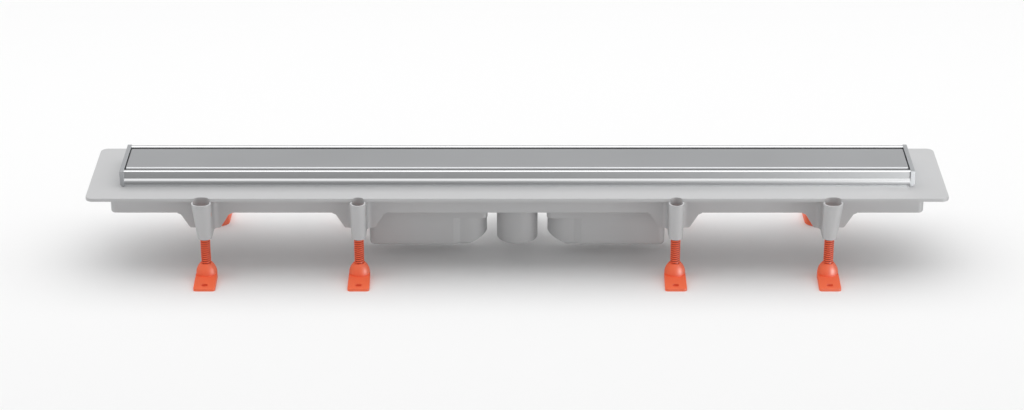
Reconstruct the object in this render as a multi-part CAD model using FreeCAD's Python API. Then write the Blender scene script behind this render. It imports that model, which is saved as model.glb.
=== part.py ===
"""Low shower channel drain: a moulded plastic channel on eight screw legs.

A wide, thin flange carries a stainless frame with a lift-out cover plate.  Below the
flange a stiffening skirt hangs round the shallow channel, and the channel's floor opens
into two trap bowls, with the outlet pot between them.  Each leg is a plastic screw in a
moulded socket, and turns in a foot with a slotted toe.

Millimetres.  +X runs along the channel, +Y points to the side of the outlet spigot, and
+Z is up.  The origin is on the floor, under the middle of the channel.
"""
import FreeCAD
import Part
import os

# ---- standing height and flange -------------------------------------------------------
FLANGE_LEVEL = 91.8          # top of the flange above the floor, as the legs are set
FLANGE_END_MARGIN = 34.0     # flange past each end of the frame
FLANGE_SIDE_MARGIN = 31.0    # flange past each side of the frame
FLANGE_THICKNESS = 3.6
FLANGE_CORNER = 8.0
FLANGE_EDGE_ROUND = 0.8

# ---- skirt under the flange -----------------------------------------------------------
SKIRT_INSET = 23.0           # from the flange's edge to the skirt's outer face
SKIRT_DEPTH = 28.0           # all depths are measured down from the top of the flange
SKIRT_WALL = 2.6
SKIRT_CORNER = 6.0
SKIRT_FOOT_ROUND = 1.8
RIB_COUNT = 15               # cross ribs between the skirt and the channel
RIB_THICKNESS = 2.0
RIB_DEPTH = 20.0
END_RIB_SPACING = 30.0       # between the two lengthwise ribs at each end

# ---- channel --------------------------------------------------------------------------
CHANNEL_END_INSET = 6.0      # from the frame's end in to the channel's end
CHANNEL_TAPER = 2.4          # how far each wall leans in by the level of the floor
CHANNEL_WALL = 2.4
CHANNEL_END_DEPTH = 18.0
CHANNEL_MID_DEPTH = 24.0
CHANNEL_CORNER = 6.0
LEVEL_FLOOR_MARGIN = 6.0     # level floor past the outer ends of the bowls

# ---- trap bowls, one each side of the outlet pot --------------------------------------
BOWL_START = 32.0            # from the middle to a bowl's inner end
BOWL_LENGTH = 128.0
BOWL_LEDGE = 3.4             # channel floor beside the bowls' outer walls
BOWL_WALL = 2.4
WELL_DEPTH = 42.0            # the shallow part that both chambers hang from
WELL_CORNER = 6.0
RISER_INSET = 1.0            # from the well's inner end to the riser's
RISER_SIDE_STEP = 2.5        # the riser's sides stand in from the sump's
RISER_STRAIGHT = 5.2         # parallel sides between the riser's round end and the step
RISER_STEP = 7.6             # length in which the sides step out to the sump
RISER_END_DEPTH = 66.0       # the floor under the riser climbs to this depth
SUMP_DEPTH = 75.0
SUMP_CORNER = 7.0
BOWL_FOOT_ROUND = 4.5

# ---- outlet pot and spigot ------------------------------------------------------------
POT_DIAMETER = 44.4
POT_DEPTH = 74.6
POT_WALL = 2.4
POT_FOOT_ROUND = 0.9
SPIGOT_DIAMETER = 40.0
SPIGOT_WALL = 2.4
SPIGOT_RISE = 1.4            # from the pot's underside to the spigot's underside
SPIGOT_REACH = 92.0          # from the middle of the channel to the spigot's end
SPIGOT_LEAD_IN = 1.5
STOP_RING_REACH = 58.0       # where a pipe socket stops
STOP_RING_LENGTH = 3.0
STOP_RING_HEIGHT = 1.5

# ---- legs -----------------------------------------------------------------------------
LEG_END_INSET = 126.0        # outer legs, from the flange's end
LEG_PITCH = 164.0            # from an outer leg to the inner leg next to it
LEG_OUTSET = 3.4             # leg axis outside the flange's edge
SOCKET_DEPTH = 44.0
SOCKET_FOOT_RADIUS = 7.6
SOCKET_MOUTH_RADIUS = 8.25
SOCKET_MOUTH_EXTRA = 4.5     # the outer sockets' mouths are this much longer, outboard
SOCKET_FOOT_EXTRA = 0.2      # and their feet
SOCKET_HOLE_RADIUS = 6.6
THREAD_START_DEPTH = 24.0    # where the wide mouth ends and the threaded bore begins
NECK_FILLET = 6.0            # between a socket's neck and the skirt
NECK_DEPTH = 45.0
NECK_WALL = 2.4
NECK_ROOF = 8.0              # depth of the roof of the pocket in the neck
WEB_TOP_HALF = 29.2          # trapezoid web in the skirt's plane
WEB_SHOULDER_HALF = 25.6
WEB_SHOULDER_DROP = 1.6
WEB_LOW_HALF = 17.2
WEB_CORNER = 1.6

SCREW_RADIUS = 5.4
SCREW_TOP_DEPTH = 16.0
SCREW_RUNNING_GAP = 0.06     # radial, in the threaded bore and in the foot
SCREW_CHAMFER = 0.8
DRIVER_SLOT_WIDTH = 1.6
DRIVER_SLOT_DEPTH = 2.5
JOURNAL_RADIUS = 4.0
COLLAR_RADIUS = 6.4
COLLAR_HEIGHT = 4.5
COLLAR_ROUND = 0.9
COLLAR_PLAY = 0.1            # above the collar, in the foot's pocket

FOOT_HEIGHT = 18.3
FOOT_RADIUS = 11.2
FOOT_SHOULDER_LEVEL = 7.5    # the dome springs from here
FOOT_DOME_RADIUS = 9.7       # half-way up the dome
FOOT_DOME_LEVEL = 13.2
FOOT_CROWN_RADIUS = 6.0
FOOT_POCKET_LEVEL = 6.5      # where the screw's collar stands
TOE_REACH = 33.0
TOE_WIDTH = 23.4             # at the tip
TOE_TIP_HEIGHT = 2.9
TOE_HEEL_HEIGHT = 6.2        # where the toe's slope leaves the dome
TOE_CORNER = 3.0
TOE_EDGE_ROUND = 0.8
TOE_SLOT_REACH = 26.0
TOE_SLOT_LENGTH = 7.0
TOE_SLOT_WIDTH = 4.5

# ---- stainless frame ------------------------------------------------------------------
FRAME_LENGTH = 850.0
FRAME_WIDTH = 68.4           # across the flat faces, above the bead
FRAME_HEIGHT = 17.9
FRAME_SHEET = 1.2
FRAME_RIM = 4.6
FRAME_FOLD_ROUND = 1.1       # along the top of the rails
BEAD_HEIGHT = 9.2
BEAD_BULGE = 1.2
FOOT_RETURN = 2.6
RAIL_TONGUE_DEPTH = 6.0      # the rails' inner walls drop this far into the channel
RAIL_TONGUE_GAP = 0.4        # to the channel's walls
RAIL_TONGUE_END_GAP = 2.0    # to the channel's round corners
END_PLATE_THICKNESS = 4.4
END_PLATE_FOOT_ROUND = 4.2
LUG_COUNT = 5                # cover rests along each rail
LUG_SPACING = 190.0
LUG_LENGTH = 24.0
LUG_REACH = 6.2
LUG_LEVEL = 1.5              # underside of a lug above the flange
STOP_NIB_LENGTH = 8.0
STOP_NIB_HEIGHT = 3.0

# ---- cover plate ----------------------------------------------------------------------
COVER_SLOT = 4.1             # open slot along each long side
COVER_END_GAP = 0.6
COVER_SHEET = 1.5
COVER_CORNER = 2.4
COVER_EDGE_ROUND = 2.0
STOP_NIB_CLEARANCE = 0.3

# ---- trap hood, its seal and the hair strainers ---------------------------------------
HOOD_TOP_DEPTH = 8.0
HOOD_WALL = 2.0
HOOD_CORNER = 3.0
HOOD_SEAT_WIDTH = 2.2        # hood wall's foot, past the edge of the bowls
DIP_DEPTH = 57.0
DIP_CLEARANCE = 0.3
HOOD_EDGE_ROUND = 1.5
GRIP_LENGTH = 24.0
GRIP_HEIGHT = 9.0
GRIP_THICKNESS = 2.6
GRIP_ROUND = 4.5
SEAL_HEIGHT = 3.0
SEAL_WIDTH = 2.6
STRAINER_THICKNESS = 1.8
STRAINER_GAP = 0.8           # between the seal and a strainer
STRAINER_LAP = 3.0           # on the floor past the bowl's outer end
STRAINER_SIDE_GAP = 0.6      # to the channel's walls
STRAINER_CORNER = 4.0
STRAINER_COLUMNS = 10
STRAINER_ROWS = 2
STRAINER_PITCH = 9.0
STRAINER_SLOT_LENGTH = 18.0
STRAINER_SLOT_WIDTH = 3.2
STRAINER_ROW_PITCH = 23.0
KNOB_RADIUS = 3.0
KNOB_HEIGHT = 8.0
KNOB_ROUND = 1.0

CUT_MARGIN = 5.0             # how far a cutting solid runs past the face it opens
MERGE_DEPTH = 0.6            # how far joined blocks of one moulding reach into each other

# ---- values that follow from those above ----------------------------------------------
FLANGE_LENGTH = FRAME_LENGTH + 2 * FLANGE_END_MARGIN
SKIRT_LENGTH = FLANGE_LENGTH - 2 * SKIRT_INSET
FLANGE_WIDTH = FRAME_WIDTH + 2 * FLANGE_SIDE_MARGIN
SKIRT_WIDTH = FLANGE_WIDTH - 2 * SKIRT_INSET
WALL_LEAN = CHANNEL_TAPER / CHANNEL_MID_DEPTH
TONGUE_HALF_WIDTH = FRAME_WIDTH / 2 - FRAME_RIM + FRAME_SHEET
CHANNEL_WIDTH = 2 * (TONGUE_HALF_WIDTH + RAIL_TONGUE_GAP + WALL_LEAN * RAIL_TONGUE_DEPTH)
CHANNEL_LENGTH = FRAME_LENGTH - 2 * CHANNEL_END_INSET
BOWL_END = BOWL_START + BOWL_LENGTH
BOWL_WIDTH = CHANNEL_WIDTH - 2 * (CHANNEL_TAPER + BOWL_LEDGE)
BOWL_CLEAR_WIDTH = BOWL_WIDTH - 2 * BOWL_WALL
RISER_RADIUS = BOWL_WIDTH / 2 - RISER_SIDE_STEP
RISER_CENTRE = BOWL_START + RISER_INSET + RISER_RADIUS
SPIGOT_DEPTH = POT_DEPTH - SPIGOT_RISE - SPIGOT_DIAMETER / 2
LEG_REACH = FLANGE_WIDTH / 2 + LEG_OUTSET
LEG_PLACE_OUTER = FLANGE_LENGTH / 2 - LEG_END_INSET
LEG_PLACE_INNER = LEG_PLACE_OUTER - LEG_PITCH
COVER_WIDTH = FRAME_WIDTH - 2 * FRAME_RIM - 2 * COVER_SLOT
COVER_LENGTH = FRAME_LENGTH - 2 * END_PLATE_THICKNESS - 2 * COVER_END_GAP
LUG_TOP = LUG_LEVEL + FRAME_SHEET
DIP_PLATE_MIDDLE = RISER_CENTRE + RISER_STRAIGHT / 2
HOOD_HALF_LENGTH = DIP_PLATE_MIDDLE + HOOD_WALL / 2
HOOD_WIDTH = BOWL_CLEAR_WIDTH + 2 * HOOD_SEAT_WIDTH

V = FreeCAD.Vector
X_AXIS = V(1, 0, 0)
Y_AXIS = V(0, 1, 0)
Z_AXIS = V(0, 0, 1)
ORIGIN = V(0, 0, 0)


def level(depth):
    """Height above the floor of a depth below the top of the flange."""
    return FLANGE_LEVEL - depth


# ---- small shape helpers --------------------------------------------------------------
def rounded_wire(x0, x1, y0, y1, radius, z):
    """Closed rectangle with round corners, flat at height z."""
    r = radius
    k = r * (1 - 0.5 ** 0.5)
    corners = [
        (V(x1 - r, y0, z), V(x1 - k, y0 + k, z), V(x1, y0 + r, z)),
        (V(x1, y1 - r, z), V(x1 - k, y1 - k, z), V(x1 - r, y1, z)),
        (V(x0 + r, y1, z), V(x0 + k, y1 - k, z), V(x0, y1 - r, z)),
        (V(x0, y0 + r, z), V(x0 + k, y0 + k, z), V(x0 + r, y0, z)),
    ]
    edges = []
    for index, (start, middle, end) in enumerate(corners):
        edges.append(Part.Arc(start, middle, end).toShape())
        following = corners[(index + 1) % len(corners)][0]
        edges.append(Part.LineSegment(end, following).toShape())
    return Part.Wire(edges)


def rounded_block(x0, x1, y0, y1, radius, z0, z1):
    """Upright block with round vertical corners."""
    face = Part.Face(rounded_wire(x0, x1, y0, y1, radius, z0))
    return face.extrude(V(0, 0, z1 - z0))


def centred_block(length, width, radius, z0, z1):
    return rounded_block(-length / 2, length / 2, -width / 2, width / 2, radius, z0, z1)


def box(x0, x1, y0, y1, z0, z1):
    return Part.makeBox(x1 - x0, y1 - y0, z1 - z0, V(x0, y0, z0))


def stadium_wire(x, y, radius, extra, z):
    """Round-ended slot outline, drawn out along +X by extra."""
    right = x + extra
    return Part.Wire([
        Part.LineSegment(V(x, y - radius, z), V(right, y - radius, z)).toShape(),
        Part.Arc(V(right, y - radius, z), V(right + radius, y, z), V(right, y + radius, z)).toShape(),
        Part.LineSegment(V(right, y + radius, z), V(x, y + radius, z)).toShape(),
        Part.Arc(V(x, y + radius, z), V(x - radius, y, z), V(x, y - radius, z)).toShape(),
    ])


def prism(points, direction):
    """Straight-sided outline, extruded."""
    return Part.Face(Part.makePolygon(points + points[:1])).extrude(direction)


def round_edges(shape, radius, wanted):
    """Round the edges of a shape that pass a test."""
    return shape.makeFillet(radius, [edge for edge in shape.Edges if wanted(edge)])


def lies_at(edge, z):
    box_of_edge = edge.BoundBox
    return abs(box_of_edge.ZMin - z) < 0.01 and abs(box_of_edge.ZMax - z) < 0.01


def mirrored(shape, normal):
    """The shape with its mirror image across the middle of the drain."""
    return [shape, shape.mirror(ORIGIN, normal)]


def solid_of(shape):
    """Clean single solid out of the result of a boolean."""
    return shape.removeSplitter().Solids[0]


# ---- moulded body ---------------------------------------------------------------------
def flange_plate():
    plate = centred_block(FLANGE_LENGTH, FLANGE_WIDTH, FLANGE_CORNER,
                          level(FLANGE_THICKNESS), level(0))
    return round_edges(plate, FLANGE_EDGE_ROUND, lambda edge: lies_at(edge, level(0)))


def skirt():
    """Wall that hangs from the flange right round the channel."""
    outer = centred_block(SKIRT_LENGTH, SKIRT_WIDTH, SKIRT_CORNER,
                          level(SKIRT_DEPTH), level(FLANGE_THICKNESS) + MERGE_DEPTH)
    outer = round_edges(outer, SKIRT_FOOT_ROUND, lambda edge: lies_at(edge, level(SKIRT_DEPTH)))
    inner = centred_block(SKIRT_LENGTH - 2 * SKIRT_WALL, SKIRT_WIDTH - 2 * SKIRT_WALL,
                          SKIRT_CORNER - SKIRT_WALL, level(SKIRT_DEPTH) - CUT_MARGIN,
                          level(FLANGE_THICKNESS))
    return outer.cut(inner)


def channel_form(offset, top):
    """Channel with leaning walls and a floor that falls to the middle, grown by offset."""
    half_length = CHANNEL_LENGTH / 2 + offset
    half_width = CHANNEL_WIDTH / 2 + offset
    level_half = BOWL_END + LEVEL_FLOOR_MARGIN
    end_floor = level(CHANNEL_END_DEPTH + offset)
    mid_floor = level(CHANNEL_MID_DEPTH + offset)

    def lean_to(z):
        return WALL_LEAN * (z - level(0))
    lengthwise = prism([
        V(-half_length - lean_to(top), -half_width - CUT_MARGIN, top),
        V(-half_length - lean_to(end_floor), -half_width - CUT_MARGIN, end_floor),
        V(-level_half, -half_width - CUT_MARGIN, mid_floor),
        V(level_half, -half_width - CUT_MARGIN, mid_floor),
        V(half_length + lean_to(end_floor), -half_width - CUT_MARGIN, end_floor),
        V(half_length + lean_to(top), -half_width - CUT_MARGIN, top),
    ], V(0, 2 * (half_width + CUT_MARGIN), 0))
    crosswise = prism([
        V(-half_length - CUT_MARGIN, -half_width - lean_to(top), top),
        V(-half_length - CUT_MARGIN, -half_width - lean_to(mid_floor), mid_floor),
        V(-half_length - CUT_MARGIN, half_width + lean_to(mid_floor), mid_floor),
        V(-half_length - CUT_MARGIN, half_width + lean_to(top), top),
    ], V(2 * (half_length + CUT_MARGIN), 0, 0))
    form = lengthwise.common(crosswise)

    def is_corner(edge):
        reach = edge.BoundBox
        upright = reach.ZLength > CHANNEL_END_DEPTH / 2
        return upright and min(abs(reach.YMin), abs(reach.YMax)) > half_width - 2 * CHANNEL_TAPER
    return round_edges(form, CHANNEL_CORNER + offset, is_corner)


def cross_ribs():
    """Ribs from the skirt to the channel; the channel is cut out of them later."""
    ribs = []
    pitch = SKIRT_LENGTH / (RIB_COUNT + 1)
    half_width = SKIRT_WIDTH / 2 - SKIRT_WALL + MERGE_DEPTH
    for index in range(RIB_COUNT):
        x = (index + 1) * pitch - SKIRT_LENGTH / 2
        ribs.append(box(x - RIB_THICKNESS / 2, x + RIB_THICKNESS / 2, -half_width, half_width,
                        level(RIB_DEPTH), level(FLANGE_THICKNESS) + MERGE_DEPTH))
    skirt_inside = SKIRT_LENGTH / 2 - SKIRT_WALL + MERGE_DEPTH
    for side in (-1, 1):
        y = side * END_RIB_SPACING / 2
        end_rib = box(CHANNEL_LENGTH / 2, skirt_inside, y - RIB_THICKNESS / 2,
                      y + RIB_THICKNESS / 2, level(RIB_DEPTH),
                      level(FLANGE_THICKNESS) + MERGE_DEPTH)
        ribs += mirrored(end_rib, X_AXIS)
    return ribs


def corner_shift(inset, run, rise):
    """How far the corner between a level line and a slope moves along the line, inset."""
    return inset * ((run ** 2 + rise ** 2) ** 0.5 - run) / rise


def chamber_plan(inset, z):
    """Plan of the +X bowl below its well: a round-ended riser that steps out to the sump."""
    riser = RISER_RADIUS - inset
    sump = BOWL_WIDTH / 2 - inset
    end = BOWL_END - inset
    corner = SUMP_CORNER - inset
    k = corner * (1 - 0.5 ** 0.5)
    shift = corner_shift(inset, RISER_STEP, RISER_SIDE_STEP)
    step_start = RISER_CENTRE + RISER_STRAIGHT + shift
    step_end = step_start + RISER_STEP
    near, far = V(RISER_CENTRE, -riser, z), V(RISER_CENTRE, riser, z)
    front = [near, V(step_start, -riser, z), V(step_end, -sump, z), V(end - corner, -sump, z)]
    rear = [V(end - corner, sump, z), V(step_end, sump, z), V(step_start, riser, z), far]
    edges = [Part.LineSegment(a, b).toShape() for a, b in zip(front, front[1:])]
    edges.append(Part.Arc(front[-1], V(end - k, k - sump, z),
                          V(end, corner - sump, z)).toShape())
    edges.append(Part.LineSegment(V(end, corner - sump, z), V(end, sump - corner, z)).toShape())
    edges.append(Part.Arc(V(end, sump - corner, z), V(end - k, sump - k, z), rear[0]).toShape())
    edges += [Part.LineSegment(a, b).toShape() for a, b in zip(rear, rear[1:])]
    edges.append(Part.Arc(far, V(RISER_CENTRE - riser, 0, z), near).toShape())
    return Part.Wire(edges)


def chamber(inset, top):
    """Deep part of the +X bowl; its floor climbs towards the outlet pot."""
    floor = level(SUMP_DEPTH) + inset
    block = Part.Face(chamber_plan(inset, floor)).extrude(V(0, 0, top - floor))
    run = RISER_CENTRE - (BOWL_START + RISER_INSET)
    rise = SUMP_DEPTH - RISER_END_DEPTH
    foot = RISER_CENTRE + corner_shift(inset, run, rise)
    wedge = prism([
        V(foot, -BOWL_WIDTH, floor),
        V(foot - 2 * run, -BOWL_WIDTH, floor + 2 * rise),
        V(foot - 2 * run, -BOWL_WIDTH, floor - CUT_MARGIN),
        V(foot, -BOWL_WIDTH, floor - CUT_MARGIN),
    ], V(0, 2 * BOWL_WIDTH, 0))
    block = block.cut(wedge)

    def is_foot(edge):
        reach = edge.BoundBox
        crease = reach.XLength < 0.01 and reach.XMax < BOWL_END - inset - 0.01
        return reach.ZMax < floor + rise + inset and not crease
    return round_edges(block, BOWL_FOOT_ROUND - inset, is_foot)


def bowl_form(inset, top):
    """One trap bowl on the +X side: a shallow well over the deep chamber.

    The inset is nothing for the outside and the wall's thickness for the space inside.
    """
    half_width = BOWL_WIDTH / 2 - inset
    well_floor = level(WELL_DEPTH) + inset
    well = rounded_block(BOWL_START + inset, BOWL_END - inset, -half_width, half_width,
                         WELL_CORNER - inset, well_floor, top)
    return well.fuse(chamber(inset, well_floor + MERGE_DEPTH))


def outlet_pot(radius, floor, top):
    return Part.makeCylinder(radius, top - floor, V(0, 0, floor))


def spigot_rod(radius, y0, y1):
    return Part.makeCylinder(radius, y1 - y0, V(0, y0, level(SPIGOT_DEPTH)), Y_AXIS)


def outlet_outside():
    pot = outlet_pot(POT_DIAMETER / 2, level(POT_DEPTH), level(CHANNEL_MID_DEPTH) - MERGE_DEPTH)
    pot = round_edges(pot, POT_FOOT_ROUND, lambda edge: lies_at(edge, level(POT_DEPTH)))
    spigot = spigot_rod(SPIGOT_DIAMETER / 2, 0, SPIGOT_REACH)
    spigot = spigot.makeChamfer(SPIGOT_LEAD_IN, [
        edge for edge in spigot.Edges if edge.BoundBox.YMin > SPIGOT_REACH - 0.01])
    ring = spigot_rod(SPIGOT_DIAMETER / 2 + STOP_RING_HEIGHT, STOP_RING_REACH,
                      STOP_RING_REACH + STOP_RING_LENGTH)
    return [pot, spigot, ring]


def outlet_inside():
    pot = outlet_pot(POT_DIAMETER / 2 - POT_WALL, level(POT_DEPTH) + POT_WALL,
                     level(CHANNEL_MID_DEPTH) + CUT_MARGIN)
    bore = spigot_rod(SPIGOT_DIAMETER / 2 - SPIGOT_WALL, 0, SPIGOT_REACH + CUT_MARGIN)
    return [pot, bore]


def socket_web(extra):
    """Trapezoid web that carries the skirt's wall down behind one socket, at X = 0."""
    outer_face = -SKIRT_WIDTH / 2
    middle = extra / 2
    right = [
        (WEB_TOP_HALF, SKIRT_DEPTH),
        (WEB_SHOULDER_HALF, SKIRT_DEPTH + WEB_SHOULDER_DROP),
        (WEB_LOW_HALF, NECK_DEPTH - WEB_CORNER),
        (WEB_LOW_HALF - WEB_CORNER, NECK_DEPTH),
    ]
    outline = [V(WEB_TOP_HALF, outer_face, level(SKIRT_DEPTH - 2 * SKIRT_FOOT_ROUND))]
    outline += [V(x, outer_face, level(depth)) for x, depth in right]
    outline += [V(-point.x, point.y, point.z) for point in reversed(outline)]
    outline = [point + V(middle, 0, 0) for point in outline]
    return prism(outline, V(0, SKIRT_WALL, 0))


def socket_neck():
    """Neck from the skirt out to one socket, with round fillets at the skirt."""
    wall = -SKIRT_WIDTH / 2
    half = SOCKET_FOOT_RADIUS
    spread = half + NECK_FILLET
    k = NECK_FILLET * (1 - 0.5 ** 0.5)
    bottom = level(NECK_DEPTH)
    start = V(-spread, wall, bottom)
    left = V(-half, wall - NECK_FILLET, bottom)
    right = V(half, wall - NECK_FILLET, bottom)
    end = V(spread, wall, bottom)
    corners = [V(-spread, wall + MERGE_DEPTH, bottom), start]
    outline = [
        Part.LineSegment(corners[0], corners[1]).toShape(),
        Part.Arc(start, V(-half - k, wall - k, bottom), left).toShape(),
        Part.LineSegment(left, V(-half, -LEG_REACH, bottom)).toShape(),
        Part.LineSegment(V(-half, -LEG_REACH, bottom), V(half, -LEG_REACH, bottom)).toShape(),
        Part.LineSegment(V(half, -LEG_REACH, bottom), right).toShape(),
        Part.Arc(right, V(half + k, wall - k, bottom), end).toShape(),
        Part.LineSegment(end, V(spread, wall + MERGE_DEPTH, bottom)).toShape(),
        Part.LineSegment(V(spread, wall + MERGE_DEPTH, bottom), corners[0]).toShape(),
    ]
    neck = Part.Face(Part.Wire(outline)).extrude(V(0, 0, NECK_DEPTH - FLANGE_THICKNESS))
    # The neck stops at the socket's axis, and below the socket it is cut away round it.
    foot = box(-spread, spread, -LEG_REACH - SOCKET_FOOT_RADIUS, -LEG_REACH + SOCKET_FOOT_RADIUS,
               bottom - CUT_MARGIN, level(SOCKET_DEPTH))
    return neck.cut(foot)


def neck_pocket():
    """Hollow that lightens the neck, open below."""
    half = SOCKET_FOOT_RADIUS - NECK_WALL
    return box(-half, half, -LEG_REACH + SOCKET_HOLE_RADIUS + NECK_WALL, -SKIRT_WIDTH / 2,
               level(NECK_DEPTH) - CUT_MARGIN, level(NECK_ROOF))


def socket_tube(extra):
    """Socket's outside: a tapering tube under the flange, its mouth drawn out along +X."""
    foot = level(SOCKET_DEPTH)
    rim = level(FLANGE_THICKNESS)
    if not extra:
        return Part.makeCone(SOCKET_FOOT_RADIUS, SOCKET_MOUTH_RADIUS, rim - foot,
                             V(0, -LEG_REACH, foot))
    return Part.makeLoft([
        stadium_wire(0, -LEG_REACH, SOCKET_FOOT_RADIUS, SOCKET_FOOT_EXTRA, foot),
        stadium_wire(0, -LEG_REACH, SOCKET_MOUTH_RADIUS, extra, rim),
    ], True, True)


def socket_bore(extra):
    """Wide mouth, open through the flange's edge, over the threaded bore."""
    shelf = level(THREAD_START_DEPTH)
    rim = level(FLANGE_THICKNESS)
    above = level(0) + CUT_MARGIN
    thread_foot = level(SOCKET_DEPTH) - CUT_MARGIN
    thread = Part.makeCylinder(SCREW_RADIUS + SCREW_RUNNING_GAP, shelf - thread_foot,
                               V(0, -LEG_REACH, thread_foot))
    if not extra:
        return [thread, Part.makeCylinder(SOCKET_HOLE_RADIUS, above - shelf,
                                          V(0, -LEG_REACH, shelf))]
    # The wide part leans as the outside does, and ends on the shelf above the thread.
    share = (SOCKET_DEPTH - THREAD_START_DEPTH) / (SOCKET_DEPTH - FLANGE_THICKNESS)
    outlines = [
        stadium_wire(0, -LEG_REACH, SOCKET_HOLE_RADIUS, extra * share, shelf),
        stadium_wire(0, -LEG_REACH, SOCKET_HOLE_RADIUS, extra, rim),
    ]
    notch = Part.Face(outlines[1]).extrude(V(0, 0, above - rim))
    return [thread, Part.makeLoft(outlines, True, True), notch]


def leg_places():
    """Name, place along X and outboard direction of the four legs on one long side."""
    return [
        ("outer_left", -LEG_PLACE_OUTER, -1),
        ("inner_left", -LEG_PLACE_INNER, 0),
        ("inner_right", LEG_PLACE_INNER, 0),
        ("outer_right", LEG_PLACE_OUTER, 1),
    ]


def on_both_sides(shape, x, outboard):
    """Place a socket form at a leg on the front side, and its mirror at the rear."""
    placed = shape.mirror(ORIGIN, X_AXIS) if outboard < 0 else shape.copy()
    placed.translate(V(x, 0, 0))
    return mirrored(placed, Y_AXIS)


def drain_body():
    """The whole moulding: flange, skirt, channel, bowls, outlet and eight sockets."""
    joint = level(CHANNEL_MID_DEPTH) - MERGE_DEPTH
    added = [skirt(), channel_form(CHANNEL_WALL, level(FLANGE_THICKNESS) + MERGE_DEPTH)]
    added += cross_ribs()
    added += mirrored(bowl_form(0, joint), X_AXIS)
    added += outlet_outside()
    removed = [channel_form(0, level(0) + CUT_MARGIN)]
    removed += mirrored(bowl_form(BOWL_WALL, level(CHANNEL_MID_DEPTH) + CUT_MARGIN), X_AXIS)
    removed += outlet_inside()
    for _, x, outboard in leg_places():
        extra = SOCKET_MOUTH_EXTRA * abs(outboard)
        added += on_both_sides(socket_web(extra), x, outboard)
        added += on_both_sides(socket_neck(), x, outboard)
        added += on_both_sides(socket_tube(extra), x, outboard)
        removed += on_both_sides(neck_pocket(), x, outboard)
        for bore in socket_bore(extra):
            removed += on_both_sides(bore, x, outboard)
    return solid_of(flange_plate().fuse(added).cut(removed))


# ---- stainless frame and cover --------------------------------------------------------
def rail_section():
    """Folded section of the front rail: bead, upright face, rim and inner wall."""
    face = -FRAME_WIDTH / 2
    inner = face + FRAME_RIM
    t = FRAME_SHEET
    x = -(FRAME_LENGTH / 2 - END_PLATE_THICKNESS) - MERGE_DEPTH

    def at(y, z):
        return V(x, y, FLANGE_LEVEL + z)
    foot_end = face + FOOT_RETURN
    corners = [at(face, BEAD_HEIGHT), at(face, FRAME_HEIGHT), at(inner, FRAME_HEIGHT),
               at(inner, -RAIL_TONGUE_DEPTH), at(inner - t, -RAIL_TONGUE_DEPTH),
               at(inner - t, FRAME_HEIGHT - t), at(face + t, FRAME_HEIGHT - t),
               at(face + t, BEAD_HEIGHT)]
    edges = [Part.LineSegment(a, b).toShape() for a, b in zip(corners, corners[1:])]
    bead_middle = BEAD_HEIGHT / 2
    edges.append(Part.Arc(at(face + t, BEAD_HEIGHT), at(face + t - BEAD_BULGE, bead_middle),
                          at(face + t, t)).toShape())
    feet = [at(face + t, t), at(foot_end, t), at(foot_end, 0), at(face, 0)]
    edges += [Part.LineSegment(a, b).toShape() for a, b in zip(feet, feet[1:])]
    edges.append(Part.Arc(at(face, 0), at(face - BEAD_BULGE, bead_middle),
                          at(face, BEAD_HEIGHT)).toShape())
    return Part.Face(Part.Wire(edges))


def end_plate():
    """Thick plate that closes the frame at +X."""
    outside = FRAME_LENGTH / 2
    half = FRAME_WIDTH / 2 + BEAD_BULGE
    plate = box(outside - END_PLATE_THICKNESS, outside, -half, half,
                FLANGE_LEVEL, FLANGE_LEVEL + FRAME_HEIGHT)

    def is_outer_foot(edge):
        reach = edge.BoundBox
        return reach.XMin > outside - 0.01 and lies_at(edge, FLANGE_LEVEL)
    return round_edges(plate, END_PLATE_FOOT_ROUND, is_outer_foot)


def cover_lugs():
    """Rests for the cover on the front rail, each with a nib that keeps the slot open."""
    rail_face = -FRAME_WIDTH / 2 + FRAME_RIM
    base = FLANGE_LEVEL + LUG_LEVEL
    top = FLANGE_LEVEL + LUG_TOP
    nib_end = -COVER_WIDTH / 2 - STOP_NIB_CLEARANCE
    lugs = []
    for index in range(LUG_COUNT):
        x = (index - (LUG_COUNT - 1) / 2) * LUG_SPACING
        lugs.append(box(x - LUG_LENGTH / 2, x + LUG_LENGTH / 2, rail_face - MERGE_DEPTH,
                        rail_face + LUG_REACH, base, top))
        lugs.append(box(x - STOP_NIB_LENGTH / 2, x + STOP_NIB_LENGTH / 2,
                        rail_face - MERGE_DEPTH, nib_end, base, top + STOP_NIB_HEIGHT))
    return lugs


def tongue_end():
    """Space at +X where the front rail's tongue stops short of the channel's corner."""
    start = CHANNEL_LENGTH / 2 - CHANNEL_TAPER - CHANNEL_CORNER - RAIL_TONGUE_END_GAP
    return box(start, FRAME_LENGTH / 2, -FRAME_WIDTH / 2, 0,
               FLANGE_LEVEL - RAIL_TONGUE_DEPTH - CUT_MARGIN, FLANGE_LEVEL)


def cover_frame():
    rail_length = FRAME_LENGTH - 2 * END_PLATE_THICKNESS + 2 * MERGE_DEPTH
    rail = rail_section().extrude(V(rail_length, 0, 0))
    rail = round_edges(rail, FRAME_FOLD_ROUND, lambda edge: (
        lies_at(edge, FLANGE_LEVEL + FRAME_HEIGHT) and edge.BoundBox.YLength < 0.01))
    rail = rail.cut(mirrored(tongue_end(), X_AXIS)).fuse(cover_lugs())
    front, rear = mirrored(rail, Y_AXIS)
    return solid_of(front.fuse([rear] + mirrored(end_plate(), X_AXIS)))


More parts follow.
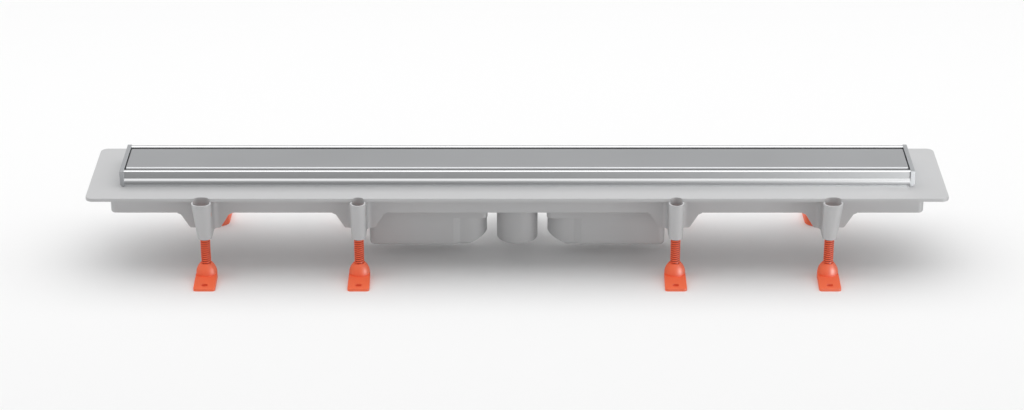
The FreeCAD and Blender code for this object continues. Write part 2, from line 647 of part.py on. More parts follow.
def cover_plate():
    """Shallow tray turned upside down: its skirt stands on the frame's lugs."""
    top = FLANGE_LEVEL + FRAME_HEIGHT
    rest = FLANGE_LEVEL + LUG_TOP
    outer = centred_block(COVER_LENGTH, COVER_WIDTH, COVER_CORNER, rest, top)
    outer = round_edges(outer, COVER_EDGE_ROUND, lambda edge: lies_at(edge, top))
    inner = box(-COVER_LENGTH / 2 + COVER_SHEET, COVER_LENGTH / 2 - COVER_SHEET,
                -COVER_WIDTH / 2 + COVER_SHEET, COVER_WIDTH / 2 - COVER_SHEET,
                rest - CUT_MARGIN, top - COVER_SHEET)
    return solid_of(outer.cut(inner))


# ---- trap insert ----------------------------------------------------------------------
def dip_plate(y_half, z0, z1):
    half = HOOD_WALL / 2
    return box(DIP_PLATE_MIDDLE - half, DIP_PLATE_MIDDLE + half, -y_half, y_half, z0, z1)


def trap_hood():
    """Hood over the outlet pot, with a plate at each end that dips into a bowl."""
    floor = level(CHANNEL_MID_DEPTH)
    top = level(HOOD_TOP_DEPTH)
    outer = centred_block(2 * HOOD_HALF_LENGTH, HOOD_WIDTH, HOOD_CORNER, floor, top)
    outer = round_edges(outer, HOOD_EDGE_ROUND, lambda edge: lies_at(edge, top))
    inner = centred_block(2 * (HOOD_HALF_LENGTH - HOOD_WALL), HOOD_WIDTH - 2 * HOOD_WALL,
                          HOOD_CORNER - HOOD_WALL, floor - CUT_MARGIN, top - HOOD_WALL)
    within = centred_block(2 * HOOD_HALF_LENGTH, HOOD_WIDTH, HOOD_CORNER, level(DIP_DEPTH), top)
    step = level(WELL_DEPTH) + BOWL_WALL + DIP_CLEARANCE
    upper = dip_plate(BOWL_CLEAR_WIDTH / 2 - DIP_CLEARANCE, step, floor + MERGE_DEPTH)
    lower = dip_plate(RISER_RADIUS - BOWL_WALL - DIP_CLEARANCE, level(DIP_DEPTH),
                      step + MERGE_DEPTH)
    plates = mirrored(upper.fuse(lower), X_AXIS)
    plates = [plate.common(within) for plate in plates]
    grip = box(-GRIP_LENGTH / 2, GRIP_LENGTH / 2, -GRIP_THICKNESS / 2, GRIP_THICKNESS / 2,
               top - MERGE_DEPTH, top + GRIP_HEIGHT)

    def is_grip_corner(edge):
        reach = edge.BoundBox
        return reach.YLength > GRIP_THICKNESS - 0.01 and reach.ZMin > top + GRIP_HEIGHT - 0.01
    grip = round_edges(grip, GRIP_ROUND, is_grip_corner)
    return solid_of(outer.cut(inner).fuse(plates + [grip]))


def hood_seal():
    """Soft ring round the foot of the hood."""
    floor = level(CHANNEL_MID_DEPTH)
    outer = centred_block(2 * (HOOD_HALF_LENGTH + SEAL_WIDTH), HOOD_WIDTH + 2 * SEAL_WIDTH,
                          HOOD_CORNER + SEAL_WIDTH, floor, floor + SEAL_HEIGHT)
    inner = centred_block(2 * HOOD_HALF_LENGTH, HOOD_WIDTH, HOOD_CORNER,
                          floor - CUT_MARGIN, floor + SEAL_HEIGHT + CUT_MARGIN)
    return solid_of(outer.cut(inner))


def hair_strainer():
    """Slotted plate over the +X sump, with a knob to lift it by."""
    floor = level(CHANNEL_MID_DEPTH)
    start = HOOD_HALF_LENGTH + SEAL_WIDTH + STRAINER_GAP
    end = BOWL_END + STRAINER_LAP
    half_width = CHANNEL_WIDTH / 2 - CHANNEL_TAPER - STRAINER_SIDE_GAP
    top = floor + STRAINER_THICKNESS
    plate = rounded_block(start, end, -half_width, half_width, STRAINER_CORNER, floor, top)
    middle = (start + end) / 2
    slots = []
    for column in range(STRAINER_COLUMNS):
        x = middle + (column - (STRAINER_COLUMNS - 1) / 2) * STRAINER_PITCH
        for row in range(STRAINER_ROWS):
            y = (row - (STRAINER_ROWS - 1) / 2) * STRAINER_ROW_PITCH
            slots.append(rounded_block(
                x - STRAINER_SLOT_WIDTH / 2, x + STRAINER_SLOT_WIDTH / 2,
                y - STRAINER_SLOT_LENGTH / 2, y + STRAINER_SLOT_LENGTH / 2,
                STRAINER_SLOT_WIDTH / 2 - 0.01, floor - CUT_MARGIN, top + CUT_MARGIN))
    knob = Part.makeCylinder(KNOB_RADIUS, KNOB_HEIGHT + MERGE_DEPTH,
                             V(middle, 0, top - MERGE_DEPTH))
    knob = round_edges(knob, KNOB_ROUND, lambda edge: lies_at(edge, top + KNOB_HEIGHT))
    return solid_of(plate.cut(slots).fuse(knob))


# ---- legs -----------------------------------------------------------------------------
def leg_screw():
    """Screw of one leg on the Z axis: thread, journal and the collar inside the foot."""
    top = level(SCREW_TOP_DEPTH)
    thread = Part.makeCylinder(SCREW_RADIUS, top - FOOT_HEIGHT, V(0, 0, FOOT_HEIGHT))
    thread = thread.makeChamfer(SCREW_CHAMFER, [
        edge for edge in thread.Edges if lies_at(edge, top)])
    collar_top = FOOT_POCKET_LEVEL + COLLAR_HEIGHT
    journal = Part.makeCylinder(JOURNAL_RADIUS, FOOT_HEIGHT - collar_top + 2 * MERGE_DEPTH,
                                V(0, 0, collar_top - MERGE_DEPTH))
    collar = Part.makeCylinder(COLLAR_RADIUS, COLLAR_HEIGHT, V(0, 0, FOOT_POCKET_LEVEL))
    collar = round_edges(collar, COLLAR_ROUND, lambda edge: lies_at(edge, collar_top))
    slot = box(-SCREW_RADIUS - CUT_MARGIN, SCREW_RADIUS + CUT_MARGIN, -DRIVER_SLOT_WIDTH / 2,
               DRIVER_SLOT_WIDTH / 2, top - DRIVER_SLOT_DEPTH, top + CUT_MARGIN)
    return solid_of(thread.fuse([journal, collar]).cut(slot))


def foot_bell():
    """Domed part of a foot, turned about the screw's axis."""
    heel = V(FOOT_RADIUS, 0, 0)
    shoulder = V(FOOT_RADIUS, 0, FOOT_SHOULDER_LEVEL)
    dome = V(FOOT_DOME_RADIUS, 0, FOOT_DOME_LEVEL)
    crown = V(FOOT_CROWN_RADIUS, 0, FOOT_HEIGHT)
    top = V(0, 0, FOOT_HEIGHT)
    outline = Part.Wire([
        Part.LineSegment(ORIGIN, heel).toShape(),
        Part.LineSegment(heel, shoulder).toShape(),
        Part.Arc(shoulder, dome, crown).toShape(),
        Part.LineSegment(crown, top).toShape(),
        Part.LineSegment(top, ORIGIN).toShape(),
    ])
    return Part.Face(outline).revolve(ORIGIN, Z_AXIS, 360)


def foot_toe():
    """Sloping toe towards -Y, a little wider at its tip, with rounded corners there."""
    tip = TOE_WIDTH / 2
    slab = prism([
        V(-FOOT_RADIUS, 0, 0),
        V(-tip, -TOE_REACH, 0),
        V(tip, -TOE_REACH, 0),
        V(FOOT_RADIUS, 0, 0),
    ], V(0, 0, FOOT_HEIGHT))
    slab = round_edges(slab, TOE_CORNER, lambda edge: (
        edge.BoundBox.ZLength > TOE_CORNER and edge.BoundBox.YMax < 0.01 - TOE_REACH))
    slope = prism([
        V(-TOE_WIDTH, -TOE_REACH, 0),
        V(-TOE_WIDTH, -TOE_REACH, TOE_TIP_HEIGHT),
        V(-TOE_WIDTH, -FOOT_RADIUS, TOE_HEEL_HEIGHT),
        V(-TOE_WIDTH, 0, TOE_HEEL_HEIGHT),
        V(-TOE_WIDTH, 0, 0),
    ], V(2 * TOE_WIDTH, 0, 0))
    toe = slab.common(slope)

    def is_top_rim(edge):
        reach = edge.BoundBox
        crease = reach.YLength < 0.01 and reach.YMin > 0.01 - TOE_REACH
        outside_dome = reach.YMax < 0.01 - FOOT_RADIUS
        return reach.ZMin > TOE_TIP_HEIGHT - 0.01 and outside_dome and not crease
    return round_edges(toe, TOE_EDGE_ROUND, is_top_rim)


def leg_foot():
    """Foot on the Z axis with its toe towards -Y, and the pocket that holds the screw."""
    collar_hole = COLLAR_RADIUS + SCREW_RUNNING_GAP
    journal_hole = JOURNAL_RADIUS + SCREW_RUNNING_GAP
    pocket = Part.makeCylinder(collar_hole, COLLAR_HEIGHT + COLLAR_PLAY,
                               V(0, 0, FOOT_POCKET_LEVEL))
    neck_hole = Part.makeCylinder(journal_hole, FOOT_HEIGHT, V(0, 0, FOOT_POCKET_LEVEL))
    slot = rounded_block(-TOE_SLOT_LENGTH / 2, TOE_SLOT_LENGTH / 2,
                         -TOE_SLOT_REACH - TOE_SLOT_WIDTH / 2,
                         -TOE_SLOT_REACH + TOE_SLOT_WIDTH / 2,
                         TOE_SLOT_WIDTH / 2 - 0.01, -CUT_MARGIN, FOOT_HEIGHT)
    return solid_of(foot_bell().fuse(foot_toe()).cut([pocket, neck_hole, slot]))


def placed_leg(shape, x, side):
    """Copy of a leg piece at its socket; the rear ones are turned half round."""
    piece = shape.copy()
    if side == "rear":
        piece.rotate(ORIGIN, Z_AXIS, 180)
        piece.translate(V(x, LEG_REACH, 0))
    else:
        piece.translate(V(x, -LEG_REACH, 0))
    return piece


# ---- all pieces -----------------------------------------------------------------------
def all_pieces():
    strainer = hair_strainer()
    pieces = {
        "drain_body": drain_body(),
        "cover_frame": cover_frame(),
        "cover_plate": cover_plate(),
        "trap_hood": trap_hood(),
        "hood_seal": hood_seal(),
        "hair_strainer_right": strainer,
        "hair_strainer_left": strainer.mirror(ORIGIN, X_AXIS),
    }
    screw = leg_screw()
    foot = leg_foot()
    for side in ("front", "rear"):
        for place, x, _ in leg_places():
            pieces["leg_screw_%s_%s" % (side, place)] = placed_leg(screw, x, side)
            pieces["leg_foot_%s_%s" % (side, place)] = placed_leg(foot, x, side)
    return pieces


os.makedirs("parts", exist_ok=True)
for node, shape in all_pieces().items():
    shape.exportStep("parts/%s.step" % node)
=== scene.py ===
"""Looks of a low shower channel drain, laid out as a Blender add-on.

Moulded light grey body, polished stainless frame round a satin cover plate, and eight
orange-red leg screws in feet of the same plastic, on a plain pale studio floor.
Metres, in the same frame as the solids: +X along the channel, +Y to the outlet's side.
"""
import math

import bmesh
import bpy
from mathutils import Matrix, Vector


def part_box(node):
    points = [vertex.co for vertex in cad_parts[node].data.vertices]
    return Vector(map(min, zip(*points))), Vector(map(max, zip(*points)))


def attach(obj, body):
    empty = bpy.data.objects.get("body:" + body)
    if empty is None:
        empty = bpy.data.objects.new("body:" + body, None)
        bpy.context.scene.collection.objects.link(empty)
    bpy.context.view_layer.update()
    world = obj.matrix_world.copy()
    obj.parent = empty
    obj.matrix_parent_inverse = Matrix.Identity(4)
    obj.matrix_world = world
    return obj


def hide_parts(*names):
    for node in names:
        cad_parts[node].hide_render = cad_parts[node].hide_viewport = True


bl_info = {
    "name": "Channel drain looks",
    "version": (1, 0, 0),
    "blender": (4, 5, 0),
    "location": "View3D > Sidebar > Drain",
    "description": "Finishes, screw threads and studio for a shower channel drain",
    "category": "Material",
}

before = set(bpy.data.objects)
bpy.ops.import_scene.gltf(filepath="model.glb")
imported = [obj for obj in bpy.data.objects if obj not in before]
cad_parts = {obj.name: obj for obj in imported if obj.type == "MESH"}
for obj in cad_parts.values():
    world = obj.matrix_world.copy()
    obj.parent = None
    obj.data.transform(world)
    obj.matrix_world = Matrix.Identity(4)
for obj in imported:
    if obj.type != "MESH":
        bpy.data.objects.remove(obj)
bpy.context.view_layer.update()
MM = 0.001

SIDES = ("front", "rear")
PLACES = ("outer_left", "inner_left", "inner_right", "outer_right")

GRAIN_RELIEF = 0.03 * MM
LINE_RELIEF = 0.02 * MM
END_PLATE_MARGIN = 0.3 * MM        # past the cover's end, where the end plates begin
WELD = 0.004 * MM                  # points of the thread that are closer than this are one
CREASE = math.radians(40)

FLOOR_HALF = 6.0
DRAIN_MIDDLE = (0.0, 0.0, 0.06)
TOP_LAMP_PLACE = (0.0, 0.4, 2.0)
TOP_LAMP_SIZE = (6.4, 2.4)
SHEEN_LAMP_PLACE = (1.0, -0.6, 0.14)
SHEEN_LAMP_TARGET = (0.35, 0.0, 0.09)
SHEEN_LAMP_SIZE = (0.4, 0.25)


# ---- values that a user would change --------------------------------------------------
def length(name, description, default):
    return bpy.props.FloatProperty(name=name, description=description, default=default,
                                   min=0, precision=5, unit="LENGTH")


def share(name, description, default):
    return bpy.props.FloatProperty(name=name, description=description, default=default,
                                   min=0, max=1, subtype="FACTOR")


def colour(name, description, default):
    return bpy.props.FloatVectorProperty(name=name, description=description, default=default,
                                         size=3, min=0, max=1, subtype="COLOR")


class DrainPlasticLook(bpy.types.PropertyGroup):
    """Moulded body, trap hood, strainers and seal."""
    body_colour: colour("Body colour", "Light grey of the moulded body", (0.53, 0.532, 0.537))
    trap_colour: colour("Trap colour", "Dark grey of the hood and strainers", (0.09, 0.09, 0.10))
    seal_colour: colour("Seal colour", "Black of the soft ring", (0.025, 0.025, 0.025))
    edge_radius: length("Edge radius", "Roundness that edges of mouldings show", 0.35 * MM)
    grain_size: length("Grain size", "Width of the mould's fine grain", 0.7 * MM)
    roughness: share("Roughness", "Roughness of the body's plastic", 0.58)


class DrainSteelLook(bpy.types.PropertyGroup):
    """Stainless frame and cover plate."""
    # Painted sheen and shade: the rails' tilted faces take the bright rim colour and their upright
    # faces the dark face colour, by which way each face points.
    rim_painted_sheen_colour: colour("Rim colour", "Polished top and bead of the rails", (0.80, 0.81, 0.82))
    face_painted_shade_colour: colour("Face colour", "Satin upright faces of the rails", (0.34, 0.345, 0.35))
    end_colour: colour("End colour", "Matt end plates of the frame", (0.40, 0.41, 0.42))
    cover_colour: colour("Cover colour", "Colour of the satin cover", (0.45, 0.458, 0.468))
    rim_roughness: share("Rim roughness", "Roughness of the polished parts", 0.12)
    face_roughness: share("Face roughness", "Roughness of the satin faces", 0.46)
    cover_roughness: share("Cover roughness", "Roughness of the satin cover", 0.34)
    edge_radius: length("Edge radius", "Roundness of the frame's folded edges", 0.4 * MM)
    cover_edge_radius: length("Cover edge radius", "Roundness of the cover's edges", 1.2 * MM)
    brush_length: length("Brush length", "Length of a brushed line", 60 * MM)
    brush_width: length("Brush width", "Width of a brushed line", 0.35 * MM)


class DrainLegLook(bpy.types.PropertyGroup):
    """Leg screws and feet."""
    leg_colour: colour("Leg colour", "Orange-red of screws and feet", (1.0, 0.165, 0.062))
    # Painted shade: the faces in the thread's grooves get this darker orange-red where shade falls.
    groove_painted_shade_colour: colour("Groove colour", "Shaded orange-red in the thread's grooves",
                          (0.55, 0.065, 0.026))
    roughness: share("Roughness", "Roughness of the legs' plastic", 0.52)
    edge_radius: length("Edge radius", "Roundness that edges of screws and feet show", 0.12 * MM)
    pitch: length("Thread pitch", "Rise of the thread in one turn", 2.5 * MM)
    thread_radius: length("Thread radius", "To the thread's crest", 5.3 * MM)
    thread_depth: length("Thread depth", "From the thread's crest to its root", 1.35 * MM)
    groove_share: share("Groove share", "Depth under the crest where the shade begins", 0.6)
    slot_width: length("Driver slot width", "Slot in the top of a screw", 1.6 * MM)
    slot_depth: length("Driver slot depth", "Depth of the slot in a screw", 2.5 * MM)
    chamfer: length("Chamfer", "At the top of the thread", 0.8 * MM)
    journal_radius: length("Journal radius", "Plain neck that turns in the foot", 4.0 * MM)
    collar_height: length("Collar height", "Collar that the foot holds", 4.5 * MM)
    segments: bpy.props.IntProperty(name="Segments", description="Steps round one thread turn",
                                    default=40, min=12, max=96)


class DrainStageLook(bpy.types.PropertyGroup):
    """Floor, lamps and camera."""
    lens: bpy.props.FloatProperty(name="Lens", description="Focal length", default=94.04,
                                  min=1, unit="CAMERA")
    pitch_down: bpy.props.FloatProperty(name="Pitch", description="How far the camera looks down",
                                        default=math.radians(25.4), subtype="ANGLE")
    distance: length("Distance", "From the camera to the middle, along the floor", 2.6308)
    height: length("Height", "Camera height above the floor", 1.3027)
    room_power: bpy.props.FloatProperty(name="Room light",
                                        description="Strength of the room's light",
                                        default=0.52, min=0)
    rear_wall: share("Rear wall", "Brightness of the room's rear wall in mirrors", 0.62)
    top_power: bpy.props.FloatProperty(name="Top lamp", description="Power of the lamp overhead",
                                       default=58.0, min=0, unit="POWER")
    sheen_power: bpy.props.FloatProperty(name="Sheen lamp",
                                         description="Power of the lamp that the steel shows",
                                         default=22.0, min=0, unit="POWER")


# ---- shader node helpers --------------------------------------------------------------
def add_node(tree, kind, **values):
    """New shader node; names with a leading capital are sockets, the others settings."""
    node = tree.nodes.new(kind)
    for name, value in values.items():
        if name[0].isupper():
            node.inputs[name.replace("_", " ")].default_value = value
        else:
            setattr(node, name, value)
    return node


def link(tree, source, target):
    tree.links.new(source, target)


def new_group(name, inputs, outputs):
    """Empty node group with its input and output sockets, and its two end nodes."""
    group = bpy.data.node_groups.new(name, "ShaderNodeTree")
    for label, kind, default in inputs:
        socket = group.interface.new_socket(label, in_out="INPUT", socket_type=kind)
        socket.default_value = default
    for label, kind in outputs:
        group.interface.new_socket(label, in_out="OUTPUT", socket_type=kind)
    return group, group.nodes.new("NodeGroupInput"), group.nodes.new("NodeGroupOutput")


def rounded_edges_group():
    """Normal that looks rounded at every edge."""
    group, entry, end = new_group("rounded_edges", [("Radius", "NodeSocketFloat", 0.0005)],
                                  [("Normal", "NodeSocketVector")])
    bevel = add_node(group, "ShaderNodeBevel", samples=6)
    link(group, entry.outputs["Radius"], bevel.inputs["Radius"])
    link(group, bevel.outputs["Normal"], end.inputs["Normal"])
    return group


def tilted_faces_group():
    """Mask of faces that tilt up or down, out of the upright ones."""
    group, entry, end = new_group(
        "tilted_faces", [("From", "NodeSocketFloat", 0.12), ("To", "NodeSocketFloat", 0.35)],
        [("Mask", "NodeSocketFloat")])
    surface = add_node(group, "ShaderNodeNewGeometry")
    parts = add_node(group, "ShaderNodeSeparateXYZ")
    link(group, surface.outputs["Normal"], parts.inputs[0])
    tilt = add_node(group, "ShaderNodeMath", operation="ABSOLUTE")
    link(group, parts.outputs["Z"], tilt.inputs[0])
    ramp = add_node(group, "ShaderNodeMapRange", interpolation_type="SMOOTHSTEP")
    link(group, tilt.outputs[0], ramp.inputs["Value"])
    link(group, entry.outputs["From"], ramp.inputs["From Min"])
    link(group, entry.outputs["To"], ramp.inputs["From Max"])
    link(group, ramp.outputs["Result"], end.inputs["Mask"])
    return group


def moulded_grain_group():
    """Fine grain of a moulding, with broad faint changes of tone."""
    group, entry, end = new_group(
        "moulded_grain",
        [("Size", "NodeSocketFloat", 0.0007), ("Tone", "NodeSocketFloat", 0.04),
         ("Roughness", "NodeSocketFloat", 0.45), ("Colour", "NodeSocketColor", (0.5, 0.5, 0.5, 1))],
        [("Colour", "NodeSocketColor"), ("Roughness", "NodeSocketFloat"),
         ("Grain", "NodeSocketFloat")])
    place = add_node(group, "ShaderNodeTexCoord")
    scale = add_node(group, "ShaderNodeMath", operation="DIVIDE")
    scale.inputs[0].default_value = 1.0
    link(group, entry.outputs["Size"], scale.inputs[1])
    grain = add_node(group, "ShaderNodeTexNoise", Detail=3.0, Roughness=0.6)
    link(group, place.outputs["Object"], grain.inputs["Vector"])
    link(group, scale.outputs[0], grain.inputs["Scale"])
    broad = add_node(group, "ShaderNodeTexNoise", Scale=9.0, Detail=4.0, Roughness=0.55)
    link(group, place.outputs["Object"], broad.inputs["Vector"])
    shift = add_node(group, "ShaderNodeMath", operation="SUBTRACT")
    shift.inputs[1].default_value = 0.5
    link(group, broad.outputs["Fac"], shift.inputs[0])
    tone = add_node(group, "ShaderNodeMath", operation="MULTIPLY_ADD")
    tone.inputs[2].default_value = 1.0
    link(group, shift.outputs[0], tone.inputs[0])
    link(group, entry.outputs["Tone"], tone.inputs[1])
    tint = add_node(group, "ShaderNodeVectorMath", operation="SCALE")
    link(group, entry.outputs["Colour"], tint.inputs[0])
    link(group, tone.outputs[0], tint.inputs["Scale"])
    link(group, tint.outputs[0], end.inputs["Colour"])
    rough = add_node(group, "ShaderNodeMath", operation="MULTIPLY_ADD")
    rough.inputs[1].default_value = 0.12
    link(group, shift.outputs[0], rough.inputs[0])
    link(group, entry.outputs["Roughness"], rough.inputs[2])
    link(group, rough.outputs[0], end.inputs["Roughness"])
    link(group, grain.outputs["Fac"], end.inputs["Grain"])
    return group


def brushed_lines_group():
    """Fine lines along X, as a belt leaves them on sheet steel."""
    group, entry, end = new_group(
        "brushed_lines",
        [("Length", "NodeSocketFloat", 0.06), ("Width", "NodeSocketFloat", 0.00035),
         ("Roughness", "NodeSocketFloat", 0.3), ("Contrast", "NodeSocketFloat", 0.1),
         ("Colour", "NodeSocketColor", (0.5, 0.5, 0.5, 1))],
        [("Colour", "NodeSocketColor"), ("Roughness", "NodeSocketFloat"),
         ("Lines", "NodeSocketFloat")])
    place = add_node(group, "ShaderNodeTexCoord")
    sizes = add_node(group, "ShaderNodeCombineXYZ")
    link(group, entry.outputs["Length"], sizes.inputs["X"])
    link(group, entry.outputs["Width"], sizes.inputs["Y"])
    link(group, entry.outputs["Width"], sizes.inputs["Z"])
    stretch = add_node(group, "ShaderNodeVectorMath", operation="DIVIDE")
    link(group, place.outputs["Object"], stretch.inputs[0])
    link(group, sizes.outputs[0], stretch.inputs[1])
    lines = add_node(group, "ShaderNodeTexNoise", Scale=1.0, Detail=2.0, Roughness=0.7)
    link(group, stretch.outputs[0], lines.inputs["Vector"])
    broad = add_node(group, "ShaderNodeTexNoise", Scale=5.0, Detail=3.0)
    link(group, place.outputs["Object"], broad.inputs["Vector"])
    both = add_node(group, "ShaderNodeMath", operation="ADD")
    link(group, lines.outputs["Fac"], both.inputs[0])
    link(group, broad.outputs["Fac"], both.inputs[1])
    shift = add_node(group, "ShaderNodeMath", operation="SUBTRACT")
    shift.inputs[1].default_value = 1.0
    link(group, both.outputs[0], shift.inputs[0])
    tone = add_node(group, "ShaderNodeMath", operation="MULTIPLY_ADD")
    tone.inputs[2].default_value = 1.0
    link(group, shift.outputs[0], tone.inputs[0])
    link(group, entry.outputs["Contrast"], tone.inputs[1])
    tint = add_node(group, "ShaderNodeVectorMath", operation="SCALE")
    link(group, entry.outputs["Colour"], tint.inputs[0])
    link(group, tone.outputs[0], tint.inputs["Scale"])
    link(group, tint.outputs[0], end.inputs["Colour"])
    rough = add_node(group, "ShaderNodeMath", operation="MULTIPLY_ADD")
    link(group, shift.outputs[0], rough.inputs[0])
    link(group, entry.outputs["Contrast"], rough.inputs[1])
    link(group, entry.outputs["Roughness"], rough.inputs[2])
    link(group, rough.outputs[0], end.inputs["Roughness"])
    link(group, lines.outputs["Fac"], end.inputs["Lines"])
    return group


def shared_group(name):
    """The named effect, built on first use."""
    makers = {"rounded_edges": rounded_edges_group, "tilted_faces": tilted_faces_group,
              "moulded_grain": moulded_grain_group, "brushed_lines": brushed_lines_group}
    return bpy.data.node_groups.get(name) or makers[name]()


def place_group(tree, name, **values):
    node = tree.nodes.new("ShaderNodeGroup")
    node.node_tree = shared_group(name)
    for label, value in values.items():
        node.inputs[label].default_value = value
    return node


def new_material(name):
    """Empty node material and its Principled shader, already linked to the output."""
    material = bpy.data.materials.new(name)
    material.use_nodes = True
    tree = material.node_tree
    tree.nodes.clear()
    shader = tree.nodes.new("ShaderNodeBsdfPrincipled")
    output = tree.nodes.new("ShaderNodeOutputMaterial")
    link(tree, shader.outputs["BSDF"], output.inputs["Surface"])
    return material, tree, shader


def opaque(rgb):
    return (*rgb, 1.0)


def edge_and_bump(tree, shader, height, radius, strength, distance):
    """Round the edges, and raise the given height over them."""
    edges = place_group(tree, "rounded_edges", Radius=radius)
    bump = add_node(tree, "ShaderNodeBump", Strength=strength, Distance=distance)
    link(tree, edges.outputs["Normal"], bump.inputs["Normal"])
    link(tree, height, bump.inputs["Height"])
    link(tree, bump.outputs["Normal"], shader.inputs["Normal"])


# ---- finishes -------------------------------------------------------------------------
def moulded_plastic(name, rgb, roughness, edge_radius, grain_size, tone=0.05, relief=0.25):
    material, tree, shader = new_material(name)
    grain = place_group(tree, "moulded_grain", Size=grain_size, Tone=tone,
                        Roughness=roughness, Colour=opaque(rgb))
    link(tree, grain.outputs["Colour"], shader.inputs["Base Color"])
    link(tree, grain.outputs["Roughness"], shader.inputs["Roughness"])
    edge_and_bump(tree, shader, grain.outputs["Grain"], edge_radius, relief, GRAIN_RELIEF)
    return material


def mix_colour(tree, mask, first, second):
    """Colour that goes from the first to the second with the mask; each a tuple or socket."""
    node = add_node(tree, "ShaderNodeMix", data_type="RGBA")
    link(tree, mask, node.inputs["Factor"])
    for socket, value in ((node.inputs[6], first), (node.inputs[7], second)):
        if isinstance(value, bpy.types.NodeSocket):
            link(tree, value, socket)
        else:
            socket.default_value = opaque(value)
    return node.outputs[2]


def brushed_metal(name, look, edge_radius, roughness, contrast, relief, rgb=(1.0, 1.0, 1.0)):
    """Metal with fine lines along X; returns its tree and lines as well."""
    material, tree, shader = new_material(name)
    shader.inputs["Metallic"].default_value = 1.0
    lines = place_group(tree, "brushed_lines", Length=look.brush_length,
                        Width=look.brush_width, Roughness=roughness, Contrast=contrast,
                        Colour=opaque(rgb))
    link(tree, lines.outputs["Colour"], shader.inputs["Base Color"])
    link(tree, lines.outputs["Roughness"], shader.inputs["Roughness"])
    edge_and_bump(tree, shader, lines.outputs["Lines"], edge_radius, relief, LINE_RELIEF)
    return material, tree, lines


def frame_metal(look, end_start):
    """Polished rims and beads with a painted sheen, satin upright faces with painted shade, and
    matt plates past end_start.
    """
    material, tree, lines = brushed_metal("stainless_frame", look, look.edge_radius,
                                          look.rim_roughness, 0.05, 0.06)
    tilted = place_group(tree, "tilted_faces").outputs["Mask"]
    place = add_node(tree, "ShaderNodeTexCoord")
    parts = add_node(tree, "ShaderNodeSeparateXYZ")
    link(tree, place.outputs["Object"], parts.inputs[0])
    along = add_node(tree, "ShaderNodeMath", operation="ABSOLUTE")
    link(tree, parts.outputs["X"], along.inputs[0])
    ends = add_node(tree, "ShaderNodeMath", operation="GREATER_THAN")
    link(tree, along.outputs[0], ends.inputs[0])
    ends.inputs[1].default_value = end_start
    # Painted sheen on faces that tilt up or down, painted shade on upright faces; the roughness
    # below is the real polish and satin.
    rail_sheen_and_shade = mix_colour(tree, tilted, look.face_painted_shade_colour, look.rim_painted_sheen_colour)
    link(tree, mix_colour(tree, ends.outputs[0], rail_sheen_and_shade, look.end_colour), lines.inputs["Colour"])
    polish = add_node(tree, "ShaderNodeMix", A=look.face_roughness, B=look.rim_roughness)
    link(tree, tilted, polish.inputs["Factor"])
    matt = add_node(tree, "ShaderNodeMix", B=look.face_roughness)
    link(tree, ends.outputs[0], matt.inputs["Factor"])
    link(tree, polish.outputs["Result"], matt.inputs["A"])
    link(tree, matt.outputs["Result"], lines.inputs["Roughness"])
    return material


def dress(material, *nodes):
    """Give the material to solids of the frame."""
    for node in nodes:
        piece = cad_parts[node]
        piece.data.materials.clear()
        piece.data.materials.append(material)


# ---- moulded body and trap ------------------------------------------------------------
class DRAIN_OT_body(bpy.types.Operator):
    """Finish the moulded body"""
    bl_idname = "drain.body"
    bl_label = "Moulded body"

    def execute(self, context):
        look = context.scene.drain_plastic
        dress(moulded_plastic("grey_body", look.body_colour, look.roughness, look.edge_radius,
                              look.grain_size), "drain_body")
        return {"FINISHED"}


class DRAIN_OT_trap(bpy.types.Operator):
    """Finish the trap hood, its seal and the strainers"""
    bl_idname = "drain.trap"
    bl_label = "Trap"

    def execute(self, context):
        look = context.scene.drain_plastic
        dress(moulded_plastic("trap_plastic", look.trap_colour, look.roughness, look.edge_radius,
                              look.grain_size),
              "trap_hood", "hair_strainer_left", "hair_strainer_right")
        dress(moulded_plastic("soft_seal", look.seal_colour, 0.7, look.edge_radius,
                              look.grain_size), "hood_seal")
        return {"FINISHED"}


# ---- stainless frame and cover --------------------------------------------------------
class DRAIN_OT_frame(bpy.types.Operator):
    """Finish the frame: polished rims with painted sheen, satin faces with painted shade, matt end
    plates
    """
    bl_idname = "drain.frame"
    bl_label = "Stainless frame"

    def execute(self, context):
        look = context.scene.drain_steel
        cover_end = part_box("cover_plate")[1][0]
        dress(frame_metal(look, cover_end + END_PLATE_MARGIN), "cover_frame")
        return {"FINISHED"}


class DRAIN_OT_cover(bpy.types.Operator):
    """Finish the satin cover plate"""
    bl_idname = "drain.cover"
    bl_label = "Cover plate"

    def execute(self, context):
        look = context.scene.drain_steel
        material, _, _ = brushed_metal("satin_cover", look, look.cover_edge_radius,
                                       look.cover_roughness, 0.08, 0.12, look.cover_colour)
        dress(material, "cover_plate")
        return {"FINISHED"}


# ---- legs -----------------------------------------------------------------------------
def thread_profile(depth):
    """One pitch of a rounded thread: share of the pitch against depth under the crest."""
    return ((0.0, 0.0), (0.16, 0.0), (0.27, 0.3 * depth), (0.48, depth),
            (0.58, depth), (0.79, 0.3 * depth), (0.90, 0.0))


